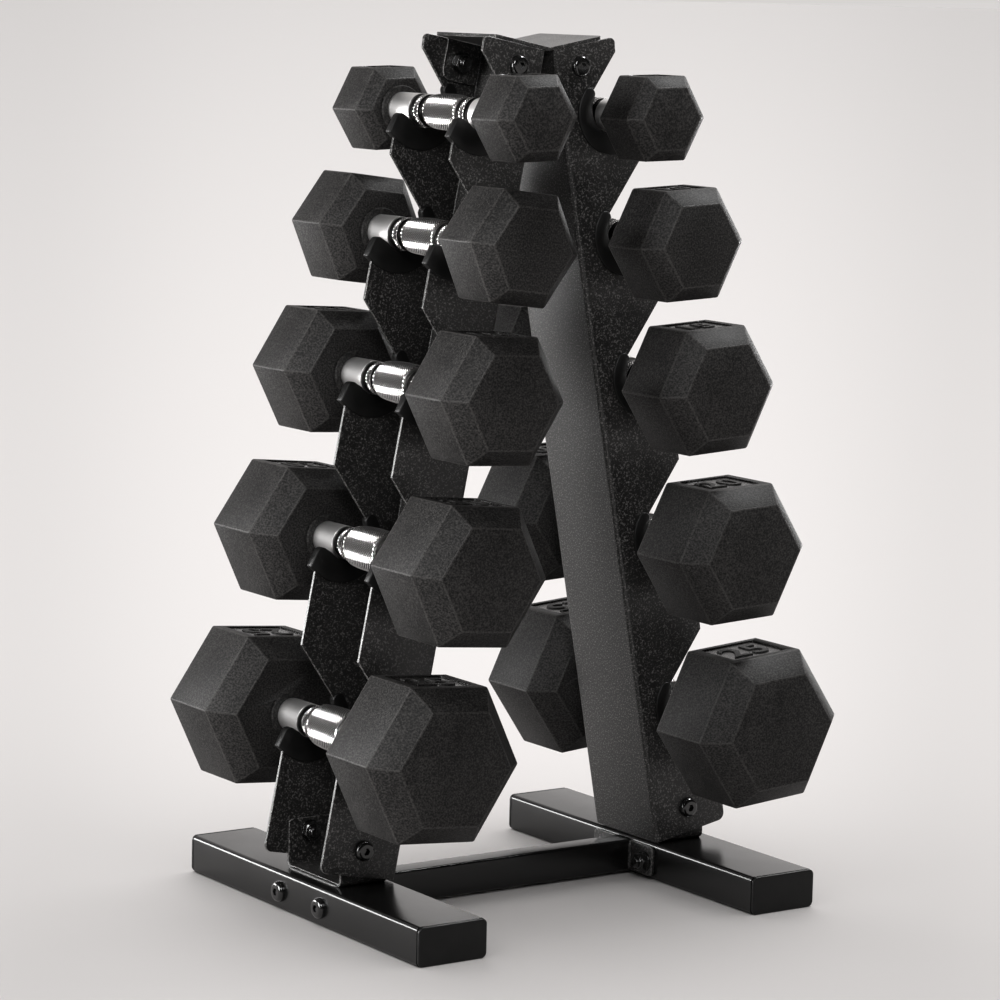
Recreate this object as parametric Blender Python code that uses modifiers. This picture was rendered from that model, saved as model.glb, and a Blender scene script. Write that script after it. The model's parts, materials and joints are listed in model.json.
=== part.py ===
"""A-frame dumbbell rack: two leaning channel uprights, five tiers of cradles, ten hex dumbbells.

X runs across the A, Y runs along the dumbbells (front is -Y) and Z is up.
The origin is on the floor, under the middle of the rack.
"""

import math

import bmesh
import bpy

# Uprights: steel channels that lean together at the top and open outward.
LEAN = math.radians(10.93)
WEB_FOOT_X = 0.1252
CHANNEL_WIDTH = 0.081
SHEET = 0.0025
CHANNEL_BOTTOM = 0.0305
CHANNEL_TOP = 0.645
CHANNEL_CORNER = 0.006
TOP_CORNER = 0.004
FLANGE_DEPTH = 0.066
TOP_FLANGE_DEPTH = 0.0555
TOP_FLANGE_STEP = 0.0005
FLANGE_Y = (CHANNEL_WIDTH - SHEET) / 2

# Cradles: the seats cut in the flanges and the plastic liners pushed over their edges.
SEAT_RADIUS = 0.0175
SEAT_OUT = 0.044
SEAT_HEIGHTS = (0.594, 0.5018, 0.3937, 0.2697, 0.1347)
LINER_WALL = 0.0025
LINER_WIDTH = 0.0065
LINER_DEPTH = 0.0366
LINER_BACK = 0.028
LINER_TIP = (0.0276, -0.0257)
FINGER_TURN = 143
HORN_OUT = 0.0195
HORN_UP = -0.0155
HORN_RADIUS = 0.005
# The flange's own horn inside the liner: its inner and outer corner from the liner's horn, how
# far its top is above it, and how far the top drops by the outer edge.
CORE_INNER = -0.003
CORE_OUTER = 0.0013
CORE_RISE = 0.0023
CORE_SLOPE = 0.0019
GAP = 0.0003
# How far a cutter runs past the face it leaves.
OVERCUT = 0.01

# Feet, crossbar and top bracket.
FOOT_X = 0.148
FOOT_WIDTH = 0.0575
FOOT_HEIGHT = 0.0287
FOOT_LENGTH = 0.3204
FOOT_WALL = 0.002
CAP_THICKNESS = 0.003
CAP_PLUG = 0.012
CAP_CORNER = 0.004
FOOT_BRACKET_HEIGHT = 0.065
FOOT_BRACKET_OUT = 0.165
FOOT_BRACKET_IN = 0.125
BAR_DEPTH = 0.019
BAR_BOTTOM = 0.002
BAR_TOP = 0.027
END_PLATE_WIDTH = 0.076
END_PLATE_BOTTOM = 0.003
END_PLATE_TOP = 0.0265
WING_OUT = 0.045
TAB_OUT = 0.036
TAB_IN = 0.006
TAB_LENGTH = 0.030
TAB_CORNER = 0.008

# Dumbbells, lightest at the top. Each row: distance across the flats, length of the straight
# part, depth of each bevelled end and grip radius.
HEADS = (
    (0.0610, 0.0325, 0.0085, 0.0137),
    (0.0805, 0.0395, 0.0125, 0.0142),
    (0.0915, 0.0460, 0.0143, 0.0155),
    (0.1000, 0.0523, 0.0162, 0.0165),
    (0.1115, 0.0528, 0.0175, 0.0170),
)
FACE_RATIO = 0.732
HANDLE_HALF = 0.068
NECK_RADIUS = 0.0125
GROOVE_RADIUS = 0.0113
GROOVES = ((0.039, 0.033), (0.027, 0.021))
GROOVE_SLOPE = 0.0005
GRIP_TAPER = 0.0012
GRIP_FLAT = 0.010
SOCKET_DEPTH = 0.016
BOSS_RADIUS = 0.0175
BOSS_HEIGHT = 0.002
ROUND_SIDES = 12
# How each dumbbell happens to lie in its cradle, top tier first: roll in degrees, shift along Y.
REST = {
    "left": ((2.0, 0.003), (-7.0, 0.001), (-3.0, 0.0015), (-5.0, -0.0005), (-4.5, 0.004)),
    "right": ((1.5, 0.001), (3.0, -0.001), (3.5, -0.0015), (3.0, 0.001), (4.5, -0.003)),
}
SIDES = {"left": -1, "right": 1}


def clear_scene():
    for obj in list(bpy.data.objects):
        bpy.data.objects.remove(obj, do_unlink=True)


def new_collection(name):
    collection = bpy.data.collections.new(name)
    bpy.context.scene.collection.children.link(collection)
    return collection


def material(name, colour, roughness, metallic):
    made = bpy.data.materials.new(name)
    made.use_nodes = True
    shader = made.node_tree.nodes["Principled BSDF"]
    shader.inputs["Base Color"].default_value = (*colour, 1.0)
    shader.inputs["Roughness"].default_value = roughness
    shader.inputs["Metallic"].default_value = metallic
    return made


def arc(centre, radius, start, end, steps, end_radius=None):
    """Points of an arc in degrees, or of a spiral when the radius changes on the way."""
    last = radius if end_radius is None else end_radius
    points = []
    for step in range(steps + 1):
        share = step / steps
        angle = math.radians(start + (end - start) * share)
        reach = radius + (last - radius) * share
        points.append((centre[0] + reach * math.cos(angle), centre[1] + reach * math.sin(angle)))
    return points


def place(mesh, name, look, location=(0, 0, 0), rotation=(0, 0, 0), parent=None):
    obj = bpy.data.objects.new(name, mesh)
    obj.location = location
    obj.rotation_euler = rotation
    obj.parent = parent
    rack.objects.link(obj)
    if not mesh.materials:
        mesh.materials.append(look)
    return obj


def evaluated_mesh(obj):
    """The object's final mesh, welded; the object itself is removed."""
    bpy.context.view_layer.update()
    depsgraph = bpy.context.evaluated_depsgraph_get()
    mesh = bpy.data.meshes.new_from_object(obj.evaluated_get(depsgraph))
    bpy.data.objects.remove(obj, do_unlink=True)
    shape = bmesh.new()
    shape.from_mesh(mesh)
    bmesh.ops.remove_doubles(shape, verts=shape.verts, dist=0.00002)
    shape.to_mesh(mesh)
    shape.free()
    return mesh


def scratch(mesh):
    obj = bpy.data.objects.new("scratch", mesh)
    cutters.objects.link(obj)
    obj.hide_render = True
    obj.display_type = "WIRE"
    return obj


def plate(outline, thickness):
    """A flat outline in XY, centred on Z = 0."""
    curve = bpy.data.curves.new("outline", "CURVE")
    curve.dimensions = "2D"
    curve.fill_mode = "BOTH"
    curve.extrude = thickness / 2
    spline = curve.splines.new("POLY")
    spline.points.add(len(outline) - 1)
    for point, (x, y) in zip(spline.points, outline):
        point.co = (x, y, 0, 1)
    spline.use_cyclic_u = True
    return evaluated_mesh(scratch(curve))


def box(low, high):
    shape = bmesh.new()
    bmesh.ops.create_cube(shape, size=1)
    for vert in shape.verts:
        vert.co = [a + (b - a) * (c + 0.5) for a, b, c in zip(low, high, vert.co)]
    mesh = bpy.data.meshes.new("box")
    shape.to_mesh(mesh)
    shape.free()
    return mesh


def rod(radius, low, high, sides):
    """A cylinder along Z."""
    shape = bmesh.new()
    bmesh.ops.create_cone(
        shape, cap_ends=True, segments=sides, radius1=radius, radius2=radius, depth=high - low
    )
    bmesh.ops.translate(shape, verts=shape.verts, vec=(0, 0, (low + high) / 2))
    mesh = bpy.data.meshes.new("rod")
    shape.to_mesh(mesh)
    shape.free()
    return mesh


def turned(profile, sides):
    """A profile of (radius, height), from top to bottom, turned round Z."""
    mesh = bpy.data.meshes.new("profile")
    mesh.from_pydata([(r, 0, z) for r, z in profile], [(i, i + 1) for i in range(len(profile) - 1)], [])
    obj = scratch(mesh)
    screw = obj.modifiers.new("turn", "SCREW")
    screw.axis = "Z"
    screw.steps = sides
    screw.render_steps = sides
    screw.use_merge_vertices = True
    screw.merge_threshold = 0.00002
    return evaluated_mesh(obj)


def combine(mesh, steps):
    """Boolean steps of (operation, other mesh), one after the other."""
    obj = scratch(mesh)
    helpers = []
    for operation, other in steps:
        helper = scratch(other)
        boolean = obj.modifiers.new(operation.lower(), "BOOLEAN")
        boolean.operation = operation
        boolean.solver = "EXACT"
        boolean.object = helper
        helpers.append(helper)
    made = evaluated_mesh(obj)
    for helper in helpers:
        bpy.data.objects.remove(helper, do_unlink=True)
    return made


def smooth(mesh, angle=30):
    mesh.shade_smooth()
    mesh.set_sharp_from_angle(angle=math.radians(angle))
    return mesh


def on_upright(side, out, up, y=0.0):
    """World place of a point given by its distance out from the web and up along the upright."""
    x = WEB_FOOT_X - up * math.sin(LEAN) + out * math.cos(LEAN)
    return (side * x, y, up * math.cos(LEAN) + out * math.sin(LEAN))


def upright_rotation(side):
    return (math.pi / 2, -LEAN, 0 if side > 0 else math.pi)


# Uprights. Each flange has a seat per tier; above a seat its edge runs out at 45 degrees,
# tangent to the seat, then straight down to the next horn.
def seat_edge(height, clearance):
    """Flange edge through one seat, from its back to the horn and on to the outer edge."""
    radius = SEAT_RADIUS + LINER_WALL + clearance
    points = arc((SEAT_OUT, height), radius, 135, 310, 9)
    top = HORN_UP + CORE_RISE - clearance
    horn = (
        (HORN_OUT + CORE_INNER, top),
        (HORN_OUT + CORE_OUTER - clearance / 3, top),
        (FLANGE_DEPTH - SEAT_OUT + GAP - clearance, top - CORE_SLOPE),
    )
    return points + [(SEAT_OUT + out, height + up) for out, up in horn]


def flange_outline():
    slope = SEAT_RADIUS + LINER_WALL + GAP
    rise = slope * math.sqrt(2) - SEAT_OUT
    points = [(0, CHANNEL_BOTTOM), (0, CHANNEL_TOP)]
    top = SEAT_HEIGHTS[0] + rise + TOP_FLANGE_DEPTH
    points += arc((TOP_FLANGE_DEPTH - TOP_CORNER, CHANNEL_TOP - TOP_CORNER), TOP_CORNER, 90, -20, 4)
    points.append((TOP_FLANGE_DEPTH - TOP_FLANGE_STEP, top))
    for tier, height in enumerate(SEAT_HEIGHTS):
        if tier:
            points.append((FLANGE_DEPTH, height + rise + FLANGE_DEPTH))
        points += seat_edge(height, GAP)
    corner = (FLANGE_DEPTH - CHANNEL_CORNER, CHANNEL_BOTTOM + CHANNEL_CORNER)
    points += arc(corner, CHANNEL_CORNER, 0, -90, 4)
    return points


def upright_mesh():
    blank = plate(flange_outline(), CHANNEL_WIDTH)
    inside = CHANNEL_WIDTH / 2 - SHEET
    hollow = box((SHEET, 0, -inside), (FLANGE_DEPTH + OVERCUT, CHANNEL_TOP + OVERCUT, inside))
    return combine(blank, [("DIFFERENCE", hollow)])


# Cradle liners: U-section plastic mouldings that grip the flange edge, with a finger on the
# outer side that keeps the handle in.
def liner_outline():
    finger = (SEAT_RADIUS + LINER_BACK) / 2
    turn = math.radians(FINGER_TURN)
    finger_centre = (finger * math.cos(turn), finger * math.sin(turn))
    points = arc((0, 0), SEAT_RADIUS, FINGER_TURN, 310, 9)
    points += arc((HORN_OUT, HORN_UP), HORN_RADIUS, 110, 29, 3)
    points.append(LINER_TIP)
    points += arc((0, 0), LINER_DEPTH, -53, -214, 7, LINER_BACK)
    points += arc(finger_centre, LINER_BACK - finger, 128, -6, 3)
    return points


def liner_mesh():
    far = LINER_DEPTH + OVERCUT
    slot = [(x - SEAT_OUT, y) for x, y in seat_edge(0, 0)]
    slot += [(FLANGE_DEPTH - SEAT_OUT + GAP, -far), (-far, -far), (-far, far)]
    slot.append((slot[0][0] + far, slot[0][1] + far))
    cutter = plate(slot, SHEET + 2 * GAP)
    return combine(plate(liner_outline(), LINER_WIDTH), [("DIFFERENCE", cutter)])


# Feet: rectangular tubes with a bent bracket welded on top, and push-in end caps.
def foot_mesh(side):
    half_width = FOOT_WIDTH / 2
    half_length = FOOT_LENGTH / 2 - CAP_THICKNESS - GAP
    tube = box((FOOT_X - half_width, -half_length, 0), (FOOT_X + half_width, half_length, FOOT_HEIGHT))
    bore = box(
        (FOOT_X - half_width + FOOT_WALL, -half_length - OVERCUT, FOOT_WALL),
        (FOOT_X + half_width - FOOT_WALL, half_length + OVERCUT, FOOT_HEIGHT - FOOT_WALL),
    )
    tab = CHANNEL_WIDTH / 2 - SHEET - GAP
    low = FOOT_HEIGHT - FOOT_WALL / 2
    bracket = box((FOOT_BRACKET_IN, -tab, low), (FOOT_BRACKET_OUT, tab, FOOT_BRACKET_HEIGHT))
    between = box(
        (FOOT_BRACKET_IN - OVERCUT, SHEET - tab, FOOT_HEIGHT + SHEET),
        (FOOT_BRACKET_OUT + OVERCUT, tab - SHEET, FOOT_BRACKET_HEIGHT + OVERCUT),
    )
    bracket = combine(bracket, [("DIFFERENCE", between)])
    made = combine(tube, [("UNION", bracket), ("DIFFERENCE", bore)])
    if side < 0:
        for vert in made.vertices:
            vert.co = (-vert.co.x, -vert.co.y, vert.co.z)
    return made


def cap_mesh():
    """An end cap lying on its outer face, with its plug pointing up."""
    half_width = FOOT_WIDTH / 2
    half_height = FOOT_HEIGHT / 2
    corner_x = half_width - CAP_CORNER
    corner_y = half_height - CAP_CORNER
    corners = (
        (corner_x, corner_y, 0),
        (-corner_x, corner_y, 90),
        (-corner_x, -corner_y, 180),
        (corner_x, -corner_y, 270),
    )
    outline = []
    for x, y, start in corners:
        outline += arc((x, y), CAP_CORNER, start, start + 90, 3)
    face = plate(outline, CAP_THICKNESS)
    inset = FOOT_WALL + GAP
    plug = box(
        (inset - half_width, inset - half_height, 0),
        (half_width - inset, half_height - inset, CAP_THICKNESS / 2 + CAP_PLUG),
    )
    return combine(face, [("UNION", plug)])


# Crossbar: a small tube between the feet with a welded plate at each end.
def crossbar_mesh():
    reach = FOOT_X - FOOT_WIDTH / 2 - GAP
    bar = box((-reach, -BAR_DEPTH / 2, BAR_BOTTOM), (reach, BAR_DEPTH / 2, BAR_TOP))
    plates = []
    for side in SIDES.values():
        ends = sorted((side * reach, side * (reach - SHEET)))
        low = (ends[0], -END_PLATE_WIDTH / 2, END_PLATE_BOTTOM)
        high = (ends[1], END_PLATE_WIDTH / 2, END_PLATE_TOP)
        plates.append(("UNION", box(low, high)))
    return combine(bar, plates)


# Top bracket: one bent plate over both channel ends, with two tabs down inside each channel.
def top_bracket_mesh():
    low = CHANNEL_TOP + GAP
    high = low + SHEET
    low_x, _, low_z = on_upright(1, WING_OUT, low)
    high_x, _, high_z = on_upright(1, WING_OUT, high)
    web_x, _, web_z = on_upright(1, 0, low)
    fold_low = web_z - web_x * math.tan(LEAN)
    fold_high = fold_low + SHEET / math.cos(LEAN)
    outline = [(-low_x, low_z), (0, fold_low), (low_x, low_z)]
    outline += [(high_x, high_z), (0, fold_high), (-high_x, high_z)]
    wings = scratch(plate(outline, CHANNEL_WIDTH))
    wings.rotation_euler = (math.pi / 2, 0, 0)
    tabs = []
    tab_y = CHANNEL_WIDTH / 2 - SHEET - GAP - SHEET / 2
    tab = [(TAB_IN, high - SHEET / 2), (TAB_IN, CHANNEL_TOP - TAB_LENGTH)]
    corner = (TAB_OUT - TAB_CORNER, CHANNEL_TOP - TAB_LENGTH + TAB_CORNER)
    tab += arc(corner, TAB_CORNER, -90, 0, 5)
    tab.append((TAB_OUT, high - SHEET / 2))
    for side in SIDES.values():
        for end in SIDES.values():
            helper = scratch(plate(tab, SHEET))
            helper.location = on_upright(side, 0, 0, end * tab_y)
            helper.rotation_euler = upright_rotation(side)
            boolean = wings.modifiers.new("tab", "BOOLEAN")
            boolean.operation = "UNION"
            boolean.object = helper
            tabs.append(helper)
    made = evaluated_mesh(wings)
    for helper in tabs:
        bpy.data.objects.remove(helper, do_unlink=True)
    return made


# Dumbbells: a turned steel handle with a knurled grip, and two rubber-coated iron heads.
def handle_mesh(grip_radius):
    end = HANDLE_HALF + SOCKET_DEPTH - GAP
    half = [(0.0, end), (NECK_RADIUS, end)]
    for outer, inner in GROOVES:
        half += [
            (NECK_RADIUS, outer),
            (GROOVE_RADIUS, outer - GROOVE_SLOPE),
            (GROOVE_RADIUS, inner + GROOVE_SLOPE),
            (NECK_RADIUS, inner),
        ]
    half[-1] = (grip_radius - GRIP_TAPER, GROOVES[-1][1])
    half.append((grip_radius, GRIP_FLAT))
    profile = half + [(radius, -height) for radius, height in reversed(half)]
    return smooth(turned(profile, ROUND_SIDES))


def head_mesh(across_flats, straight, bevel):
    """A head with its handle side down: hexagonal, bevelled at both ends, with a round boss."""
    corner = across_flats / math.sqrt(3)
    face = corner * FACE_RATIO
    length = straight + 2 * bevel
    profile = [(0, length), (face, length), (corner, length - bevel), (corner, bevel), (face, 0), (0, 0)]
    boss = rod(BOSS_RADIUS, -BOSS_HEIGHT, bevel, ROUND_SIDES)
    socket_radius = (NECK_RADIUS + GAP) / math.cos(math.pi / ROUND_SIDES)
    socket = rod(socket_radius, -OVERCUT, SOCKET_DEPTH, ROUND_SIDES)
    return combine(turned(profile, 6), [("UNION", boss), ("DIFFERENCE", socket)])


clear_scene()
rack = new_collection("dumbbell_rack")
cutters = new_collection("cutters")

steel = material("powder_coated_steel", (0.022, 0.022, 0.024), 0.45, 0.0)
plastic = material("black_plastic", (0.02, 0.02, 0.021), 0.5, 0.0)
rubber = material("coated_iron", (0.055, 0.053, 0.054), 0.75, 0.0)
bright = material("chromed_steel", (0.75, 0.75, 0.76), 0.2, 1.0)

upright = upright_mesh()
liner = liner_mesh()
cap = cap_mesh()
for word, side in SIDES.items():
    place(upright, word + "_upright", steel, on_upright(side, 0, 0), upright_rotation(side))
    place(foot_mesh(side), word + "_foot", steel)
    for end, front in (("front", -1), ("rear", 1)):
        location = (side * FOOT_X, front * (FOOT_LENGTH / 2 - CAP_THICKNESS / 2), FOOT_HEIGHT / 2)
        place(cap, f"{word}_{end}_foot_cap", plastic, location, (front * math.pi / 2, 0, 0))
        for tier, height in enumerate(SEAT_HEIGHTS, 1):
            location = on_upright(side, SEAT_OUT, height, front * FLANGE_Y)
            place(liner, f"{word}_{end}_cradle_{tier}", plastic, location, upright_rotation(side))
place(crossbar_mesh(), "crossbar", steel)
place(top_bracket_mesh(), "top_bracket", steel, rotation=(math.pi / 2, 0, 0))

for tier, (across_flats, straight, bevel, grip_radius) in enumerate(HEADS, 1):
    handle = handle_mesh(grip_radius)
    head = head_mesh(across_flats, straight, bevel)
    for word, side in SIDES.items():
        roll, shift = REST[word][tier - 1]
        seat = on_upright(side, SEAT_OUT, SEAT_HEIGHTS[tier - 1], shift)
        drop = SEAT_RADIUS - NECK_RADIUS - GAP
        centre = bpy.data.objects.new(f"{word}_dumbbell_{tier}", None)
        centre.location = (seat[0], seat[1], seat[2] - drop)
        centre.rotation_euler = (0, -math.radians(roll), 0)
        rack.objects.link(centre)
        name = f"{word}_dumbbell_{tier}_"
        place(handle, name + "handle", bright, (0, 0, 0), (math.pi / 2, 0, 0), centre)
        place(head, name + "front_head", rubber, (0, -HANDLE_HALF, 0), (math.pi / 2, 0, 0), centre)
        place(head, name + "rear_head", rubber, (0, HANDLE_HALF, 0), (-math.pi / 2, 0, 0), centre)
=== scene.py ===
import json
import math

import bmesh
import bpy
from mathutils import Matrix, Vector

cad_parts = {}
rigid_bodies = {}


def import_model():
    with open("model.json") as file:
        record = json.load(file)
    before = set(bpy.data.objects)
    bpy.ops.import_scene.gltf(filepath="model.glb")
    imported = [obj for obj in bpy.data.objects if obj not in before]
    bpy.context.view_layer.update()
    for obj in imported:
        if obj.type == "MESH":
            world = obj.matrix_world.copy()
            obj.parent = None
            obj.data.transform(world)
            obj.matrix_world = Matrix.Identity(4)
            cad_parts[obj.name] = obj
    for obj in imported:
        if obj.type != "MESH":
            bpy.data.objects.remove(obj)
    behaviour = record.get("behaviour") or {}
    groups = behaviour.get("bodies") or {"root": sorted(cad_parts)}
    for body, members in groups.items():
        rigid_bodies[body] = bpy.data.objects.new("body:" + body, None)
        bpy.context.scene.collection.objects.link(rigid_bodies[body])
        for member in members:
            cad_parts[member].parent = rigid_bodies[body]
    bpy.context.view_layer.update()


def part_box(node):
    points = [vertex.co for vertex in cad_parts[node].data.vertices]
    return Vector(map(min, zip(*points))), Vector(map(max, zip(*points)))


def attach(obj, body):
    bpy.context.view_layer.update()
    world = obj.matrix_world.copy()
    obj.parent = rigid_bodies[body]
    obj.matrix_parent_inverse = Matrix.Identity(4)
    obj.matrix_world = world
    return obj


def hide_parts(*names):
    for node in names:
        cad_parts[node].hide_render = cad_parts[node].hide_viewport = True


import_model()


# Feet. Each is a length of rectangular steel tube with a U bracket, folded from strip, welded on
# top to take the upright. Both are powder coated black after welding.
FOOT_WALL = 0.002
FOOT_CORNER = 0.0032
CAP_GAP = 0.0003
STRIP = 0.0025
BEND = 0.0045
BRACKET_OUT = 0.165
BRACKET_IN = 0.125
BRACKET_TOP = 0.065
TAB_CORNER = 0.003
CHANNEL_WIDTH = 0.081
BEAD = 0.0022
RIPPLE = 0.0021
TUBE_EDGE = 0.0003
SHEET_EDGE = 0.0005
# How far a cutter runs past the face that it leaves.
OVERCUT = 0.01
# Zones of a piece's surface: its rounded edges, and the sunk panel of a head.
EDGE = 1
PANEL = 2
SIDES = {"left": -1, "right": 1}
ENDS = {"front": -1, "rear": 1}


class Socket:
    """One output in a material's node tree; Python maths on it adds Math nodes."""

    def __init__(self, tree, output=None):
        self.tree = tree
        self.output = output

    def node(self, kind, settings, inputs, result=0):
        """Any node: its settings are set first, then its sockets get their values or links."""
        made = self.tree.nodes.new("ShaderNode" + kind)
        for name, value in settings.items():
            setattr(made, name, value)
        for name, value in inputs.items():
            self.feed(made.inputs[name], value)
        return Socket(self.tree, made.outputs[result])

    def feed(self, inlet, value):
        if isinstance(value, Socket):
            self.tree.links.new(value.output, inlet)
        else:
            inlet.default_value = value

    def maths(self, operation, first, second):
        return self.node("Math", {"operation": operation}, {0: first, 1: second})

    def __add__(self, other):
        return self.maths("ADD", self, other)

    __radd__ = __add__

    def __sub__(self, other):
        return self.maths("SUBTRACT", self, other)

    def __rsub__(self, other):
        return self.maths("SUBTRACT", other, self)

    def __mul__(self, other):
        return self.maths("MULTIPLY", self, other)

    __rmul__ = __mul__

    def __truediv__(self, other):
        return self.maths("DIVIDE", self, other)

    def __abs__(self):
        return self.maths("ABSOLUTE", self, 0.0)

    def step(self, low, high):
        """0 below low, 1 above high and smooth between them."""
        limits = {"Value": self, "From Min": low, "From Max": high}
        return self.node("MapRange", {"interpolation_type": "SMOOTHSTEP"}, limits)

    def grain(self, scale, detail=2.0, roughness=0.5):
        """Noise of so many cells a metre, from 0 to 1."""
        inputs = {"Vector": self, "Scale": scale, "Detail": detail, "Roughness": roughness}
        return self.node("TexNoise", {}, inputs)

    def blend(self, first, second):
        """A colour mixed from two by this mask."""
        inputs = {"Factor": self, 6: (*first, 1.0), 7: (*second, 1.0)}
        return self.node("Mix", {"data_type": "RGBA"}, inputs, 2)

    def bump(self, height):
        """A normal from a height in metres."""
        return self.node("Bump", {}, {"Height": height, "Distance": 1.0, "Strength": 1.0})


def new_finish(name, **constants):
    """A material with its shader's fixed sockets set, and a socket with the place on the piece."""
    made = bpy.data.materials.new(name)
    made.use_nodes = True
    shader = made.node_tree.nodes["Principled BSDF"]
    for socket, value in constants.items():
        shader.inputs[socket.replace("_", " ")].default_value = value
    start = Socket(made.node_tree)
    where = start.node("Attribute", {"attribute_name": "place"}, {}, 1)
    return made, where


def varies(finish, socket, value):
    """Feeds a shader socket with something that changes over the surface."""
    shader = finish.node_tree.nodes["Principled BSDF"]
    value.tree.links.new(value.output, shader.inputs[socket])


def zone(where, number):
    """1 on one zone of a piece and 0 elsewhere."""
    marks = where.node("Attribute", {"attribute_name": "zone"}, {}, 2)
    return marks.step(number - 0.6, number - 0.4) * (1 - marks.step(number + 0.4, number + 0.6))


def powder_coat(name, gloss_roughness, pebble_height, black, glint_colour):
    """Baked polyester powder: a fine pebbled skin with painted highlights on its tops and rounded edges,
    and a slightly uneven gloss.
    """
    made, where = new_finish(name, Specular_IOR_Level=0.6)
    cloud = where.grain(28.0, 3.0)
    pebbles = where.grain(780.0, 1.5, 0.6)
    # Painted glints: the pebbles' tops and the rounded edges are painted paler.
    pebble_glint = (pebbles + 0.12 * zone(where, EDGE)).step(0.50, 0.74)
    varies(made, "Base Color", pebble_glint.blend(black, glint_colour))
    varies(made, "Roughness", gloss_roughness + 0.10 * cloud - 0.08 * zone(where, EDGE))
    varies(made, "Normal", where.bump(pebble_height * pebbles))
    return made


def to_mesh(shape):
    mesh = bpy.data.meshes.new("shape")
    shape.to_mesh(mesh)
    shape.free()
    for spare in range(PANEL + 1):
        mesh.materials.append(None)
    return mesh


def arc(centre, radius, start, end, steps, end_radius=None):
    """Points of an arc in degrees, or of a spiral when the radius changes on the way."""
    last = radius if end_radius is None else end_radius
    points = []
    for step in range(steps + 1):
        share = step / steps
        angle = math.radians(start + (end - start) * share)
        reach = radius + (last - radius) * share
        points.append((centre[0] + reach * math.cos(angle), centre[1] + reach * math.sin(angle)))
    return points


def rounded(low, high, radius, steps=6):
    """Outline of a rectangle with rounded corners."""
    left, right = low[0] + radius, high[0] - radius
    bottom, top = low[1] + radius, high[1] - radius
    centres = ((right, top), (left, top), (left, bottom), (right, bottom))
    outline = []
    for quarter, centre in enumerate(centres):
        outline += arc(centre, radius, 90 * quarter, 90 * quarter + 90, steps)
    return outline


def prism(outline, low, high, along="Z"):
    """A flat outline given depth from low to high along one axis."""
    order = {"X": (2, 0, 1), "Y": (0, 2, 1), "Z": (0, 1, 2)}[along]
    shape = bmesh.new()
    corners = []
    for a, b in outline:
        point = (a, b, low)
        corners.append(shape.verts.new([point[index] for index in order]))
    grown = bmesh.ops.extrude_face_region(shape, geom=[shape.faces.new(corners)])
    moved = [part for part in grown["geom"] if isinstance(part, bmesh.types.BMVert)]
    shift = [(high - low) * (axis == along) for axis in "XYZ"]
    bmesh.ops.translate(shape, verts=moved, vec=shift)
    bmesh.ops.recalc_face_normals(shape, faces=shape.faces)
    return to_mesh(shape)


def worked(mesh, set_up):
    """The mesh after the modifiers that set_up adds to it."""
    blank = bpy.data.objects.new("blank", mesh)
    bpy.context.scene.collection.objects.link(blank)
    tools = set_up(blank) or []
    bpy.context.view_layer.update()
    seen = blank.evaluated_get(bpy.context.evaluated_depsgraph_get())
    made = bpy.data.meshes.new_from_object(seen)
    for used in [blank] + tools:
        bpy.data.objects.remove(used, do_unlink=True)
    return made


def combined(mesh, *steps):
    """Boolean steps of (operation, other mesh), one after the other."""

    def set_up(blank):
        tools = []
        for operation, other in steps:
            tool = bpy.data.objects.new("tool", other)
            bpy.context.scene.collection.objects.link(tool)
            boolean = blank.modifiers.new("boolean", "BOOLEAN")
            boolean.operation = operation
            boolean.object = tool
            tools.append(tool)
        return tools

    shape = bmesh.new()
    shape.from_mesh(worked(mesh, set_up))
    bmesh.ops.remove_doubles(shape, verts=shape.verts, dist=0.00001)
    bmesh.ops.dissolve_limit(shape, angle_limit=math.radians(0.5), verts=shape.verts, edges=shape.edges)
    return to_mesh(shape)


def softened(mesh, width, segments=2, angle=30):
    """Every edge sharper than the angle is rounded over, and the surface is shaded smooth."""

    def set_up(blank):
        bevel = blank.modifiers.new("edges", "BEVEL")
        bevel.width = width
        bevel.segments = segments
        bevel.limit_method = "ANGLE"
        bevel.angle_limit = math.radians(angle)
        bevel.harden_normals = True
        bevel.miter_outer = "MITER_ARC"
        bevel.material = EDGE

    mesh.shade_smooth()
    return worked(mesh, set_up)


def lathe(rings, sides, teeth=0.0):
    """Rings of (height, radius, toothed) turned round Z. Teeth stand on every other point."""
    shape = bmesh.new()
    crest = shape.verts.layers.float.new("crest")
    rows = []
    for row, (height, radius, toothed) in enumerate(rings):
        line = []
        for side in range(sides):
            angle = 2 * math.pi * side / sides
            valley = toothed * ((row + side) % 2)
            reach = radius + teeth * (0.5 * toothed - valley)
            line.append(shape.verts.new((reach * math.cos(angle), reach * math.sin(angle), height)))
            line[-1][crest] = 1 - valley
        rows.append(line)
    for row, (line, above) in enumerate(zip(rows, rows[1:])):
        toothed = rings[row][2] and rings[row + 1][2]
        for side in range(sides):
            after = (side + 1) % sides
            corners = [line[side], line[after], above[after], above[side]]
            if not toothed:
                shape.faces.new(corners).smooth = True
                continue
            turn = 1 - (row + side) % 2
            corners = corners[turn:] + corners[:turn]
            shape.faces.new(corners[:3])
            shape.faces.new([corners[2], corners[3], corners[0]])
    bmesh.ops.remove_doubles(shape, verts=shape.verts, dist=0.000001)
    bmesh.ops.recalc_face_normals(shape, faces=shape.faces)
    return to_mesh(shape)


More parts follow.
